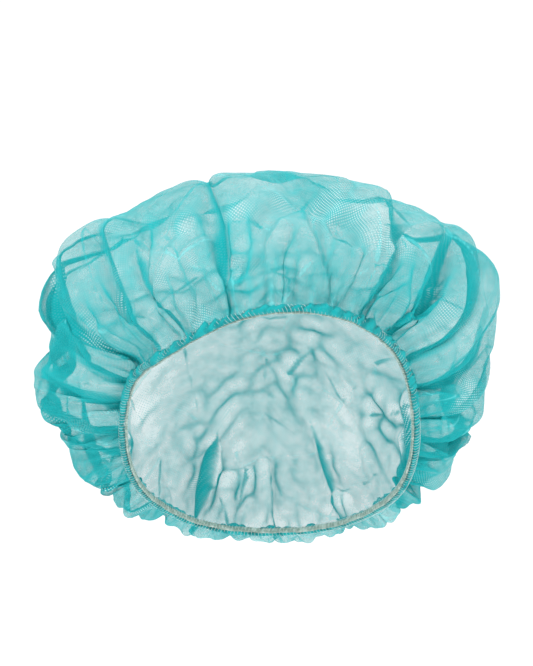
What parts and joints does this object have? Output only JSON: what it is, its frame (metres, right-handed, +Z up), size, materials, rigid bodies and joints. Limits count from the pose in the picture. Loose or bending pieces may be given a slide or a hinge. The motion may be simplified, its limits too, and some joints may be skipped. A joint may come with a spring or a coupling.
{
  "type": "disposable hair cover cap",
  "caption": "Puffed disposable hair cap of thin translucent teal nonwoven, gathered all round into a stitched hem over a flat elastic, open below for the head.",
  "frame": {"origin": "middle of the opening that the elastic holds open, where the head sits", "axes": "+Z up as worn, -Y the wearer's front and +X the wearer's left; the opening's plane leans by 34 degrees about X, high at the brow and low at the nape"},
  "size_m": [0.2611, 0.2564, 0.2159],
  "materials": {
    "nonwoven_sheet": "thin translucent spunbond, matt with a faint fibre sheen",
    "bunched_nonwoven": "matt, bunched spunbond",
    "covered_elastic": "matt, ribbed"
  },
  "bodies": {
    "root": {"crown": "nonwoven_sheet", "gathered_hem": "bunched_nonwoven", "elastic_band": "covered_elastic"}
  },
  "joints": []
}
